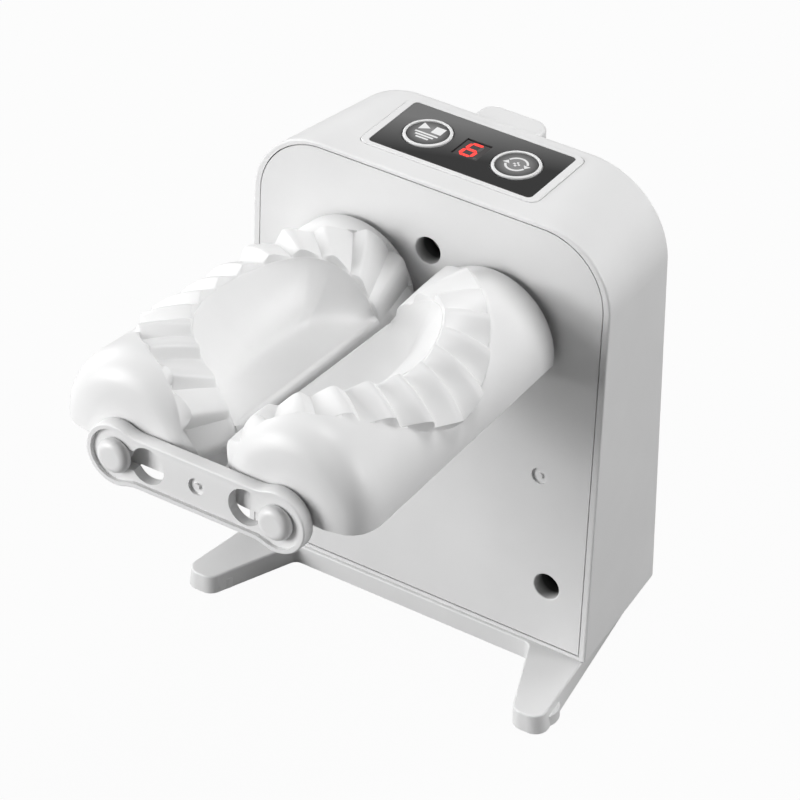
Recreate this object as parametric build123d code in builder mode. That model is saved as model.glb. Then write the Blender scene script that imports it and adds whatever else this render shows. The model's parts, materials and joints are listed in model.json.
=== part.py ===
from build123d import *
import math
import os

# An electric dumpling maker: an upright housing on a foot plate with two legs, and a pair of
# counter-rotating half-drum moulds that reach out of its leaning front panel.
# Millimetres, +Z up, front towards -Y, origin on the ground under the middle of the whole.

# Overall sizes
housing_height = 121.4
housing_depth = 42.4
side_room = 6.4
rear_narrowing = 4.5
front_corner = 19.4
rear_corner = 23.5
rear_rounding = 3.0
lean = 3.45

# Walls and seams
wall = 2.6
rear_wall = 2.2
seam = 0.15
panel_thickness = 2.4
side_rim = 2.0
top_rim = 1.3
bottom_rim = 1.1
edge_rounding = 0.5
panel_rounding = 0.25
seam_corner_step = 1.5
through = 1.0
join = 0.5

# Foot plate and feet
base_thickness = 5.6
foot_proud = 0.5
foot_radius = 4.5
foot_recess = 1.0
base_lip = 1.0
leg_reach = 25.3
leg_width = 8.3
leg_splay = 3.2
leg_inner_splay = 10.2
leg_inner_root = 36.4
leg_root_rounding = 2.5
leg_tip_rounding = 3.6
undercut_front = -0.8
undercut_middle = 0.3
undercut_rear = 2.2
base_skin = 3.0
base_rim = 2.2
base_boss_radius = 3.6
screw_sink = 2.4
leg_middle_inset = 0.7
base_rear_inset = 1.5
foot_wall = 1.2
foot_chamfer = 0.3
foot_inset = 2.9
foot_set_back = 7.6
rear_foot_spread = 28.0
rear_foot_inset = 9.4
base_screw_inset = 6.9
base_screw_front = 14.0
base_screw_rear = 9.4
boss_height = 9.6

# Rollers, in the frame of the panel: forward distances start at the panel's front face
roller_spacing = 46.0
axis_below_top = 36.7
roller_gap = 1.8
roller_length = 90.4
nip_play = 0.4
drum_radius = 18.4
drum_shift = 2.7
drum_rise = 2.3
drum_flare = 2.6
drum_floor = 0.3
dome_rounding = 10.0
ring_radius = 42.5
bowl_radius = 36.5
bowl_floor = 10.6
nip_floor = -2.7
pleats = 13
pleat_span = 156.0
pleat_inner_radius = 35.0
pleat_outer_radius = 44.0
pleat_inner_depth = 0.7
pleat_outer_depth = 3.4
pleat_opening = 48.0
pleat_height = 8.0
pleat_overrun = 3.0
ring_shift = 1.2
hub_radius = 5.5
core_gap = 1.4
core_width = 5.2
core_height = 8.6
core_end = 10.0

# Bracket and mushroom pins
bracket_gap = 0.4
bracket_thickness = 3.8
bracket_end_radius = 8.2
bracket_waist = 6.9
bracket_rim = 1.3
bracket_recess = 1.0
bracket_neck_rounding = 10.0
bracket_rounding = 0.45
keyhole_offset = 9.0
keyhole_radius = 4.8
slot_half_width = 2.7
pin_play = 0.08
pin_head_radius = 4.5
pin_head_height = 2.4
pin_anchor = 9.0
pin_room = 0.4
pin_crown_share = 0.85
dimple_radius = 2.2
dimple_depth = 0.8
nub_radius = 0.8
nub_drop = 0.2

# Drive train
output_teeth = 46
pinion_teeth = 12
second_teeth = 40
first_teeth = 45
second_module = 0.8
first_module = 0.6
output_gear_start = 5.0
output_gear_width = 6.0
gear_space = 0.7
second_gear_width = 4.0
first_gear_width = 3.0
end_play = 0.3
plate_thickness = 2.0
plate_corner = 3.5
plate_clearance = 0.5
plate_top = 9.0
plate_top_overhang = 7.0
plate_margin = 5.0
plate_side_margin = 4.0
plate_ear_half = 6.0
mount_boss_radius = 3.4
upper_mount_drop = 22.0
lower_mount_spread = 30.0
mount_below_train = 21.5
shaft_radius = 3.0
shaft_overhang = 0.8
shaft_chamfer = 0.4
drive_flats = 5.0
drive_length = 7.0
drive_play = 0.08
drive_room = 0.6
running_play = 0.06
press_play = 0.02
axle_radius = 1.25
axle_skin = 1.4
axle_end_room = 0.1
idler_hub_wall = 1.4
pinion_overlap = 0.4
output_rim_width = 5.0
output_hub_wall = 2.5
output_hub_groove = 1.0
motor_radius = 12.2
motor_length = 12.3
motor_rounding = 0.8
motor_nose_radius = 3.0
motor_nose_height = 1.2
motor_tail_radius = 2.4
motor_tail_height = 0.8
motor_screw_circle = 8.5
motor_hole_depth = 3.0
motor_screw_bite = 2.4
motor_screw_head_radius = 1.7
motor_shaft_radius = 1.0
motor_shaft_room = 1.2
motor_shaft_lead = 0.6
motor_pinion_lead = 0.3
terminal_width = 1.6
terminal_thickness = 0.4
terminal_height = 1.3
terminal_places = ((-6.0, -7.0), (6.0, -7.0))
front_bushing_radius = 5.0
rear_bushing_radius = 4.4
bushing_flange = 1.5
bushing_flange_thickness = 1.0
axle_boss_radius = 3.0
shaft_shoulder = 1.0

# Screws and their wells
well_radius = 3.6
well_wall = 1.0
well_depth = 8.0
well_floor = 1.6
well_rounding = 0.4
pilot_depth = 11.0
small_screw_length = 6.0
gate_radius = 2.25
gate_depth = 0.7
post_radius = 3.6
top_well_drop = 18.9
low_well_height = 18.3
low_well_inset = 10.7
screw_radius = 1.5
screw_head_radius = 2.9
screw_head_height = 1.8
small_screw_radius = 1.0
small_head_radius = 2.0
small_head_height = 1.4
screw_play = 0.05
screw_end_room = 1.5
small_screw_end_room = 1.0
head_rounding_share = 0.35
slot_floor_share = 0.45
slot_length_share = 1.1
slot_width_share = 0.45

# Control strip, buttons and display
control_length = 51.8
control_width = 24.2
control_shift = 0.8
control_corner = 2.6
control_rim = 2.1
control_rim_depth = 1.25
control_proud = 0.3
control_recess = 1.6
ledge = 1.2
overlay_thickness = 0.7
overlay_drop = 0.1
button_spacing = 26.0
button_radius = 6.3
button_play = 0.35
button_travel = 0.4
button_proud = 0.4
window_width = 7.4
window_length = 7.8
opening_corner = 1.5
bezel_rounding = 0.35
button_rounding = 0.3
button_flange = 1.0
button_stem_radius = 1.5
display_play = 0.1
display_drop = 0.3
board_drop = 6.5
board_thickness = 1.6
board_corner = 1.0
board_margin = 2.6
board_side_margin = 1.9
board_post_inset = 1.9
board_post_radius = 1.8
board_screw_radius = 0.8
board_screw_bite = 3.0
board_screw_head_radius = 1.6
board_screw_head_height = 1.2
switch_side = 6.0
switch_height = 2.5
switch_floor = 0.5
plunger_radius = 1.6
plunger_play = 0.3
plunger_room = 0.1
plunger_lead = 0.7

# Parts under the control board: each is a place, a footprint and a height
driver_chip = ((-6.0, 1.0), (5.0, 4.4), 1.6)
connector_places = ((8.0, 2.0), (-16.0, -2.0))
connector_size = ((7.4, 5.0), 4.6)
buzzer_place = (17.0, -2.0)
buzzer_radius = 2.5
buzzer_height = 5.2

# Charging socket and the hump that holds it
hump_width = 19.0
hump_depth = 5.3
hump_height = 20.0
hump_rounding = 4.0
hump_end_rounding = 1.2
hump_drop = 0.5
socket_width = 8.9
socket_height = 3.2
socket_length = 7.3
socket_corner = 1.55
socket_wall = 0.3
socket_floor = 1.2
socket_set_in = 0.6
socket_drop = 13.4
socket_headroom = 1.2
tongue_width = 6.6
tongue_thickness = 0.7
tongue_root = 0.2
tongue_set_in = 0.8
charge_board_width = 13.4
charge_board_thickness = 1.2
charge_board_length = 12.0
hump_skin = 1.8

# Battery
cell_radius = 9.15
cell_length = 65.0
cell_rounding = 0.6
cell_play = 0.2
cell_end_play = 0.1
cell_shift = 0.8
contact_width = 9.0
contact_height = 10.0
contact_thickness = 0.5
holder_floor = 1.6
holder_wall = 2.0
holder_height = 9.5
holder_corner = 0.8

# Places worked out from the sizes
lean_angle = math.radians(lean)
base_top = foot_proud + base_thickness
top_z = base_top + housing_height
axis_z = top_z - axis_below_top
half_spacing = roller_spacing / 2
front_half = roller_spacing + side_room
rear_half = front_half - rear_narrowing
bracket_back = roller_gap + roller_length + bracket_gap
bracket_front = bracket_back + bracket_thickness
web_front = bracket_front - bracket_recess
head_back = web_front + end_play
pin_front = head_back + pin_head_height
axis_set_back = (axis_z - base_top) * math.tan(lean_angle)
side_taper = rear_narrowing / (housing_depth - axis_set_back)
front_reach = pin_front * math.cos(lean_angle) - axis_set_back
face_y = (front_reach - housing_depth - hump_depth) / 2
rear_y = face_y + housing_depth
rear_inner_y = rear_y - rear_wall
floor_z = base_top + wall

face_right = Vector(1, 0, 0)
face_up = Vector(0, math.sin(lean_angle), math.cos(lean_angle))
face_out = Vector(0, -math.cos(lean_angle), math.sin(lean_angle))
axis_origin = Vector(0, face_y + axis_set_back, axis_z)


def on_panel(x, up, forward=0.0):
    """A plane parallel to the panel's front face, facing forward, at x across and up from the axes."""
    origin = axis_origin + face_right * x + face_up * up + face_out * forward
    return Plane(origin=origin, x_dir=face_right, z_dir=face_out)


def up_panel(z):
    """How far up the leaning panel, from the roller axes, a world height lies."""
    return (z - axis_z) / math.cos(lean_angle)


def arch(plane, half_width, low, high, corner):
    """An upright outline with two rounded top corners, between two world heights."""
    rise = plane.y_dir.Z
    bottom = (low - plane.origin.Z) / rise
    top = (high - plane.origin.Z) / rise
    with BuildSketch(plane) as sketch:
        with BuildLine():
            Polyline(
                (-half_width, top - corner),
                (-half_width, bottom),
                (half_width, bottom),
                (half_width, top - corner),
            )
            CenterArc((half_width - corner, top - corner), corner, 0, 90)
            Line((half_width - corner, top), (corner - half_width, top))
            CenterArc((corner - half_width, top - corner), corner, 90, 90)
        make_face()
    return sketch.sketch


def disc(plane, radius, places=((0, 0),)):
    """Round faces on a plane."""
    with BuildSketch(plane) as sketch:
        with Locations(*places):
            Circle(radius)
    return sketch.sketch


def slab(plane, width, length, corner=0.0, places=((0, 0),)):
    """Rectangular faces on a plane, with rounded corners if any."""
    with BuildSketch(plane) as sketch:
        with Locations(*places):
            if corner > 0:
                RectangleRounded(width, length, corner)
            else:
                Rectangle(width, length)
    return sketch.sketch


def gear_outline(plane, module, teeth, phase, bore):
    """A toothed wheel: four-sided teeth with eased flanks, one of them centred on the phase angle."""
    pitch_radius = module * teeth / 2
    tip = pitch_radius + 0.9 * module
    root = pitch_radius - 1.25 * module
    half_pitch = 90 / teeth
    slope = math.degrees(math.tan(math.radians(20)) * module / pitch_radius)
    half_at_pitch = 0.9 * half_pitch
    half_at_tip = half_at_pitch - 0.9 * slope - 0.06 * half_pitch
    half_at_root = half_at_pitch + 0.9 * slope
    points = []
    for tooth in range(teeth):
        middle = phase + 360 * tooth / teeth
        for radius, offset in (
            (root, -half_at_root),
            (pitch_radius, -half_at_pitch),
            (tip, -half_at_tip),
            (tip, half_at_tip),
            (pitch_radius, half_at_pitch),
            (root, half_at_root),
        ):
            angle = math.radians(middle + offset)
            points.append((radius * math.cos(angle), radius * math.sin(angle)))
    with BuildSketch(plane) as sketch:
        with BuildLine():
            Polyline(*points, close=True)
        make_face()
        Circle(bore, mode=Mode.SUBTRACT)
    return sketch.sketch


def mesh_phase(driver_phase, driver_teeth, direction, driven_teeth):
    """The phase of a gear that meshes with another one, which sees it in the given direction."""
    ahead = (direction - driver_phase) * driver_teeth / 360
    return direction + 180 - (0.5 - ahead) * 360 / driven_teeth


# Gear centres and layers, seen from the front: the train goes from the right output gear down
output_module = roller_spacing / output_teeth
pinion_drop = output_module * (output_teeth + pinion_teeth) / 2
second_distance = second_module * (second_teeth + pinion_teeth) / 2
first_distance = first_module * (first_teeth + pinion_teeth) / 2
shaft_places = [(-half_spacing, 0), (half_spacing, 0)]
second_place = (half_spacing, -pinion_drop)
first_place = (half_spacing - second_distance, -pinion_drop)
motor_place = (first_place[0] - first_distance, -pinion_drop)
output_back = output_gear_start + output_gear_width
second_start = output_back + gear_space + end_play
second_back = second_start + second_gear_width
first_start = second_back + gear_space + end_play
first_back = first_start + first_gear_width
plate_front = first_back + gear_space + end_play
plate_back = plate_front + plate_thickness
boss_front = output_gear_start - end_play
train_end = plate_front - end_play
ear = front_half - wall - side_taper * plate_back - plate_clearance
lower_mount_drop = pinion_drop + mount_below_train
mount_places = (
    (ear - mount_boss_radius, -upper_mount_drop),
    (mount_boss_radius - ear, -upper_mount_drop),
    (lower_mount_spread, -lower_mount_drop),
    (-lower_mount_spread, -lower_mount_drop),
)

# Wells in the panel, as places on it
top_well = (0, up_panel(top_z - top_well_drop))
gate_place = (front_half - side_rim - 14.8, up_panel(base_top + 50.3))
low_wells = [
    (side * (front_half - side_rim - low_well_inset), up_panel(base_top + low_well_height))
    for side in (1, -1)
]
well_places = [top_well] + low_wells
well_back = well_depth + well_floor

# Screw places in the foot plate, and the feet
base_screw_places = [
    (side * (rear_half - base_screw_inset), y)
    for side in (1, -1)
    for y in (face_y + base_screw_front, rear_y - base_screw_rear)
]
leg_tip_y = face_y - leg_reach
foot_places = [
    (side * x, y)
    for side in (1, -1)
    for x, y in (
        (front_half - foot_inset, leg_tip_y + foot_set_back),
        (rear_foot_spread, rear_y - rear_foot_inset),
    )
]

# Control strip levels
top_front_y = face_y + axis_set_back + axis_below_top * math.tan(lean_angle)
control_y = (top_front_y + rear_y) / 2 + control_shift
bezel_floor = top_z - control_recess
overlay_top = top_z + control_proud - overlay_drop
overlay_bottom = overlay_top - overlay_thickness
board_top = top_z - board_drop
board_bottom = board_top - board_thickness
button_xs = (-button_spacing / 2, button_spacing / 2)
board_length = control_length - 2 * board_margin
board_width = control_width - 2 * board_side_margin
board_post_places = [
    (side * (board_length / 2 - board_post_inset), end * (board_width / 2 - board_post_inset))
    for side in (1, -1)
    for end in (1, -1)
]

# Socket levels
socket_z = top_z - socket_drop
socket_face_y = rear_y + hump_depth - socket_set_in
charge_board_top = socket_z - socket_height / 2
charge_board_bottom = charge_board_top - charge_board_thickness

# Battery place
cell_z = floor_z + holder_floor + cell_radius
cell_y = face_y + housing_depth / 2 + cell_shift
holder_half = cell_length / 2 + cell_end_play + contact_thickness + holder_wall

front_plane = on_panel(0, 0)
face_axis = Axis(axis_origin, face_out)
rear_plane = Plane(origin=(0, rear_y, axis_z), x_dir=(1, 0, 0), z_dir=(0, -1, 0))
seam_half = front_half - side_rim
seam_top = top_z - top_rim
seam_bottom = base_top + bottom_rim
seam_corner = front_corner - seam_corner_step

pieces = {}


def keep(part, name):
    """Label a finished piece and put it with the others."""
    part.label = name
    pieces[name] = part


# The hump behind the top rear edge, which joins the main shell
with BuildPart() as hump:
    with BuildSketch(Plane.XY.offset(top_z - hump_height)) as hump_outline:
        with Locations((0, rear_y + hump_depth / 2 - rear_rounding)):
            Rectangle(hump_width, hump_depth + 2 * rear_rounding)
        fillet(hump_outline.vertices().group_by(Axis.Y)[-1], hump_rounding)
    extrude(amount=hump_height - hump_drop)
    hump_ends = hump.edges().filter_by(Plane.XY).filter_by(lambda e: e.center().Y > rear_y - rear_rounding)
    fillet(hump_ends, hump_end_rounding)

# Main shell: a tapering box with round shoulders, open at the front
with BuildPart() as main_shell:
    loft(
        sections=[
            arch(front_plane, front_half, base_top, top_z, front_corner),
            arch(rear_plane, rear_half, base_top, top_z, rear_corner),
        ],
        ruled=True,
    )
    rear_edges = main_shell.edges().group_by(Axis.Y)[-1]
    fillet(rear_edges.filter_by(lambda e: e.center().Z > floor_z), rear_rounding)
    front_edges = main_shell.faces().sort_by(Axis.Y)[0].edges()
    fillet(front_edges.filter_by(lambda e: e.center().Z > floor_z), edge_rounding)
    add(hump.part)
    # pocket for the panel, then the hollow behind its ledge
    extrude(
        arch(front_plane, seam_half + seam, seam_bottom - seam, seam_top + seam, seam_corner + seam),
        amount=-panel_thickness,
        mode=Mode.SUBTRACT,
    )
    loft(
        sections=[
            arch(
                on_panel(0, 0, -panel_thickness),
                front_half - side_taper * panel_thickness - wall,
                floor_z,
                top_z - wall,
                front_corner - wall,
            ),
            arch(
                rear_plane.offset(rear_wall),
                rear_half + side_taper * rear_wall - wall,
                floor_z,
                top_z - wall,
                rear_corner - wall,
            ),
        ],
        ruled=True,
        mode=Mode.SUBTRACT,
    )
    # opening and ledge for the control strip
    extrude(
        slab(
            Plane((0, control_y, bezel_floor)),
            control_length + 2 * seam,
            control_width + 2 * seam,
            control_corner,
        ),
        amount=control_recess + through,
        mode=Mode.SUBTRACT,
    )
    extrude(
        slab(
            Plane((0, control_y, top_z)),
            control_length - 2 * ledge,
            control_width - 2 * ledge,
            opening_corner,
        ),
        amount=-wall - through,
        mode=Mode.SUBTRACT,
    )
    # posts from the rear wall to the panel's wells, each with its pilot hole
    for x, up in well_places:
        post_plane = on_panel(x, up, -well_back)
        reach = (rear_inner_y + rear_wall / 2 - post_plane.origin.Y) / math.cos(lean_angle)
        extrude(disc(post_plane, post_radius), amount=-reach)
        extrude(disc(post_plane, screw_radius + screw_play), amount=-pilot_depth, mode=Mode.SUBTRACT)
    # bosses for the foot plate's screws
    boss_plane = Plane.XY.offset(floor_z - wall / 2)
    extrude(disc(boss_plane, base_boss_radius, base_screw_places), amount=boss_height)
    extrude(
        disc(Plane.XY.offset(base_top), screw_radius + screw_play, base_screw_places),
        amount=boss_height,
        mode=Mode.SUBTRACT,
    )
    # hollow of the hump, and the mouth for the charging plug
    hollow_back = rear_y + hump_depth - hump_skin
    extrude(
        slab(
            Plane((0, (rear_inner_y - through + hollow_back) / 2, charge_board_bottom)),
            charge_board_width + 2 * seam,
            hollow_back - rear_inner_y + through,
        ),
        amount=charge_board_thickness + socket_height + socket_headroom,
        mode=Mode.SUBTRACT,
    )
    mouth_plane = Plane(origin=(0, hollow_back - through, socket_z), x_dir=(1, 0, 0), z_dir=(0, 1, 0))
    extrude(
        slab(mouth_plane, socket_width + 4 * seam, socket_height + 4 * seam, socket_height / 2),
        amount=hump_skin + 2 * through,
        mode=Mode.SUBTRACT,
    )
keep(main_shell.part, "main_shell")

# Front panel: a leaning plate with deep wells, gearbox bosses and two shaft openings
with BuildPart() as front_panel:
    extrude(
        arch(front_plane, seam_half - seam, seam_bottom + seam, seam_top - seam, seam_corner - seam),
        amount=-panel_thickness,
    )
    panel_rim = front_panel.faces().sort_by(Axis.Y)[0].edges()
    fillet(panel_rim, panel_rounding)
    inside = panel_thickness / 2
    well_tubes = disc(on_panel(0, 0, -inside), well_radius + well_wall, well_places)
    extrude(well_tubes, amount=inside - well_back)
    mount_bosses = disc(on_panel(0, 0, -inside), mount_boss_radius, mount_places)
    extrude(mount_bosses, amount=inside - plate_front)
    axle_bosses = disc(on_panel(0, 0, -inside), axle_boss_radius, [second_place, first_place])
    extrude(axle_bosses, amount=inside - boss_front)
    # wells, shaft openings, pilot holes and axle sockets
    before = on_panel(0, 0, through)
    extrude(disc(before, well_radius, well_places), amount=-through - well_depth, mode=Mode.SUBTRACT)
    extrude(
        disc(front_plane, screw_radius + seam, well_places),
        amount=-well_back - through,
        mode=Mode.SUBTRACT,
    )
    extrude(
        disc(before, front_bushing_radius + press_play, shaft_places),
        amount=-panel_thickness - 2 * through,
        mode=Mode.SUBTRACT,
    )
    extrude(
        disc(on_panel(0, 0, -plate_front), small_screw_radius + screw_play, mount_places),
        amount=small_screw_length,
        mode=Mode.SUBTRACT,
    )
    extrude(
        disc(on_panel(0, 0, -boss_front), axle_radius + press_play, [second_place, first_place]),
        amount=boss_front - axle_skin,
        mode=Mode.SUBTRACT,
    )
    face_edges = front_panel.faces().filter_by(face_axis).sort_by(face_axis)[-1].edges()
    well_mouths = face_edges.filter_by(GeomType.CIRCLE).filter_by(
        lambda e: abs(e.radius - well_radius) < press_play
    )
    fillet(well_mouths, well_rounding)
    # moulding dimple with its nub
    extrude(disc(on_panel(*gate_place), gate_radius), amount=-gate_depth, mode=Mode.SUBTRACT)
    extrude(disc(on_panel(*gate_place, -gate_depth), nub_radius), amount=gate_depth - nub_drop)
keep(front_panel.part, "front_panel")


def foot_plate_outline(z, undercuts):
    """The foot plate's outline at a height, with its sides drawn in by three amounts, front to rear."""
    front_in, middle_in, rear_in = undercuts
    front_y = face_y - base_lip
    outer_middle = front_half - leg_middle_inset
    half = [
        (leg_inner_root, front_y),
        (leg_inner_root + leg_inner_splay, leg_tip_y),
        (outer_middle + leg_splay - front_in, leg_tip_y),
        (outer_middle - middle_in, face_y),
        (rear_half - base_rear_inset - rear_in, rear_y),
    ]
    outline = half + [(-x, y) for x, y in reversed(half)]
    with BuildSketch(Plane.XY.offset(z)) as sketch:
        with BuildLine():
            Polyline(*outline, close=True)
        make_face()
        fillet(sketch.vertices().group_by(Axis.Y)[0], leg_tip_rounding)
        roots = sketch.vertices().filter_by(lambda v: abs(v.Y - front_y) < seam)
        fillet(roots, leg_root_rounding)
        fillet(sketch.vertices().group_by(Axis.Y)[-1], rear_rounding)
    return sketch.sketch


# Foot plate: one plate with two forward legs, hollow below round its foot seats and screw bosses
with BuildPart() as base_frame:
    loft(
        sections=[
            foot_plate_outline(foot_proud, (undercut_front, undercut_middle, undercut_rear)),
            foot_plate_outline(base_top, (0, 0, 0)),
        ],
        ruled=True,
    )
    top_edges = base_frame.faces().sort_by(Axis.Z)[-1].edges()
    fillet(top_edges, edge_rounding)
    with BuildSketch(Plane.XY.offset(foot_proud)):
        add(foot_plate_outline(0, (undercut_front, undercut_middle, undercut_rear)))
        offset(amount=-base_rim, kind=Kind.INTERSECTION)
    extrude(amount=base_thickness - base_skin, mode=Mode.SUBTRACT)
    seat_plane = Plane.XY.offset(foot_proud)
    seat_height = base_thickness - base_skin + join
    extrude(disc(seat_plane, foot_radius + foot_wall, foot_places), amount=seat_height)
    extrude(disc(seat_plane, base_boss_radius, base_screw_places), amount=seat_height)
    extrude(
        disc(seat_plane, foot_radius + press_play, foot_places),
        amount=foot_recess,
        mode=Mode.SUBTRACT,
    )
    extrude(
        disc(seat_plane, screw_head_radius + 2 * seam, base_screw_places),
        amount=screw_sink,
        mode=Mode.SUBTRACT,
    )
    screw_holes = disc(seat_plane, screw_radius + seam, base_screw_places)
    extrude(screw_holes, amount=base_thickness, mode=Mode.SUBTRACT)
keep(base_frame.part, "base_frame")

with BuildPart() as rubber_feet:
    extrude(disc(Plane.XY, foot_radius, foot_places), amount=foot_proud + foot_recess)
    chamfer(rubber_feet.edges().group_by(Axis.Z)[0], foot_chamfer)
keep(rubber_feet.part, "rubber_feet")


def screw(plane, radius, length, head_radius, head_height):
    """A pan-head screw whose head stands on the plane and whose shank runs behind it."""
    with BuildPart() as part:
        extrude(disc(plane, head_radius), amount=head_height)
        fillet(part.edges().sort_by(Axis(plane.origin, plane.z_dir))[-1], head_height * head_rounding_share)
        extrude(disc(plane, radius), amount=-length)
        slot_plane = plane.offset(head_height * slot_floor_share)
        slot_length = head_radius * slot_length_share
        slot_width = radius * slot_width_share
        extrude(slab(slot_plane, slot_length, slot_width), amount=head_height, mode=Mode.SUBTRACT)
        extrude(slab(slot_plane, slot_width, slot_length), amount=head_height, mode=Mode.SUBTRACT)
    return part.part


def screws(planes, radius, length, head_radius, head_height):
    """A group of like screws."""
    return Compound(children=[screw(plane, radius, length, head_radius, head_height) for plane in planes])


keep(
    screws(
        [on_panel(x, up, -well_depth) for x, up in well_places],
        screw_radius,
        well_floor + pilot_depth - screw_end_room,
        screw_head_radius,
        screw_head_height,
    ),
    "panel_screws",
)
keep(
    screws(
        [Plane(origin=(x, y, foot_proud + screw_sink), z_dir=(0, 0, -1)) for x, y in base_screw_places],
        screw_radius,
        base_thickness - screw_sink + boss_height - wall,
        screw_head_radius,
        screw_head_height,
    ),
    "base_screws",
)
keep(
    screws(
        [
            Plane(origin=on_panel(x, y, -plate_back).origin, x_dir=face_right, z_dir=-face_out)
            for x, y in mount_places
        ],
        small_screw_radius,
        plate_thickness + small_screw_length - small_screw_end_room,
        small_head_radius,
        small_head_height,
    ),
    "gearbox_screws",
)

# Gearbox plate, which carries the rear bushings, the axles' rear ends and the motor
with BuildPart() as gearbox_plate:
    with BuildSketch(on_panel(0, 0, -plate_back)) as plate_outline:
        with BuildLine():
            half_plate = [
                (half_spacing + plate_top_overhang, plate_top),
                (ear, plate_ear_half - upper_mount_drop),
                (ear, -plate_ear_half - upper_mount_drop),
                (lower_mount_spread + plate_side_margin, -lower_mount_drop - plate_margin),
            ]
            Polyline(*half_plate, *[(-x, y) for x, y in reversed(half_plate)], close=True)
        make_face()
        fillet(plate_outline.vertices(), plate_corner)
        with Locations(*mount_places):
            Circle(small_screw_radius + seam, mode=Mode.SUBTRACT)
        with Locations(*shaft_places):
            Circle(rear_bushing_radius + press_play, mode=Mode.SUBTRACT)
        with Locations(second_place, first_place):
            Circle(axle_radius + press_play, mode=Mode.SUBTRACT)
        with Locations(motor_place):
            Circle(motor_nose_radius + seam, mode=Mode.SUBTRACT)
            with PolarLocations(motor_screw_circle, 2, 90):
                Circle(small_screw_radius + seam, mode=Mode.SUBTRACT)
    extrude(amount=plate_thickness)
keep(gearbox_plate.part, "gearbox_plate")

# Bushings: flanged sleeves in the panel and in the gearbox plate
with BuildPart() as shaft_bushings:
    extrude(disc(front_plane, front_bushing_radius, shaft_places), amount=-boss_front)
    extrude(disc(on_panel(0, 0, -plate_front), rear_bushing_radius, shaft_places), amount=-plate_thickness)
    for back, radius in ((panel_thickness, front_bushing_radius), (plate_back, rear_bushing_radius)):
        flange = disc(on_panel(0, 0, -back), radius + bushing_flange, shaft_places)
        extrude(flange, amount=-bushing_flange_thickness)
    bores = disc(on_panel(0, 0, through), shaft_radius + running_play, shaft_places)
    extrude(bores, amount=-plate_back - bushing_flange_thickness - 2 * through, mode=Mode.SUBTRACT)
keep(shaft_bushings.part, "shaft_bushings")


def output_gear(side, phase):
    """An output gear with its long hub."""
    plane = on_panel(side * half_spacing, 0, -output_back)
    with BuildPart() as part:
        toothed = gear_outline(plane, output_module, output_teeth, phase, shaft_radius)
        extrude(toothed, amount=output_gear_width)
        # lightening web between rim and hub
        hub_outer = shaft_radius + output_hub_wall
        web = disc(plane, half_spacing - output_rim_width) - disc(plane, hub_outer + output_hub_groove)
        extrude(web, amount=output_gear_width / 3, mode=Mode.SUBTRACT)
        hub = disc(plane, hub_outer) - disc(plane, shaft_radius + press_play)
        extrude(hub, amount=output_back - train_end)
        extrude(disc(plane, shaft_radius + press_play), amount=output_gear_width, mode=Mode.SUBTRACT)
    return part.part


def drive_shaft(side):
    """An output shaft whose front end is a hexagon that enters its roller."""
    x = side * half_spacing
    with BuildPart() as part:
        tail = plate_back + shaft_overhang
        extrude(disc(on_panel(x, 0, -tail), shaft_radius), amount=tail + shaft_shoulder)
        with BuildSketch(on_panel(x, 0, shaft_shoulder)):
            RegularPolygon(drive_flats / 2, 6, major_radius=False)
        extrude(amount=roller_gap + drive_length - shaft_shoulder)
        chamfer(part.edges().group_by(face_axis)[-1], shaft_chamfer)
    return part.part


right_phase = 0.0
left_phase = mesh_phase(right_phase, output_teeth, 180, output_teeth)
second_phase = mesh_phase(right_phase, output_teeth, -90, pinion_teeth)
first_phase = mesh_phase(0, second_teeth, 180, pinion_teeth)
motor_phase = mesh_phase(0, first_teeth, 180, pinion_teeth)
keep(output_gear(1, right_phase), "right_output_gear")
keep(output_gear(-1, left_phase), "left_output_gear")
keep(drive_shaft(1), "right_drive_shaft")
keep(drive_shaft(-1), "left_drive_shaft")


def compound_gear(place, pinion, pinion_front, wheel, wheel_front, wheel_back):
    """A pinion and a larger wheel in one piece, free to turn on a fixed axle."""
    bore = axle_radius + running_play
    hub = axle_radius + idler_hub_wall
    with BuildPart() as part:
        front_hub = disc(on_panel(*place, -wheel_front), hub) - disc(on_panel(*place, -wheel_front), bore)
        extrude(front_hub, amount=wheel_front - output_gear_start)
        module, teeth, phase = pinion
        extrude(
            gear_outline(on_panel(*place, -wheel_front), module, teeth, phase, bore),
            amount=wheel_front - pinion_front,
        )
        module, teeth, phase = wheel
        extrude(
            gear_outline(on_panel(*place, -wheel_back), module, teeth, phase, bore),
            amount=wheel_back - wheel_front,
        )
        back_hub = disc(on_panel(*place, -wheel_back), hub) - disc(on_panel(*place, -wheel_back), bore)
        extrude(back_hub, amount=wheel_back - train_end)
    return part.part


second_gear = compound_gear(
    second_place,
    (output_module, pinion_teeth, second_phase),
    output_gear_start,
    (second_module, second_teeth, 0),
    second_start,
    second_back,
)
keep(second_gear, "second_stage_gear")
first_gear = compound_gear(
    first_place,
    (second_module, pinion_teeth, first_phase),
    second_start - pinion_overlap,
    (first_module, first_teeth, 0),
    first_start,
    first_back,
)
keep(first_gear, "first_stage_gear")

with BuildPart() as gear_axles:
    extrude(
        disc(on_panel(0, 0, -axle_skin - axle_end_room), axle_radius, [second_place, first_place]),
        amount=axle_skin + axle_end_room - plate_back,
    )
keep(gear_axles.part, "gear_axles")

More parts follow.
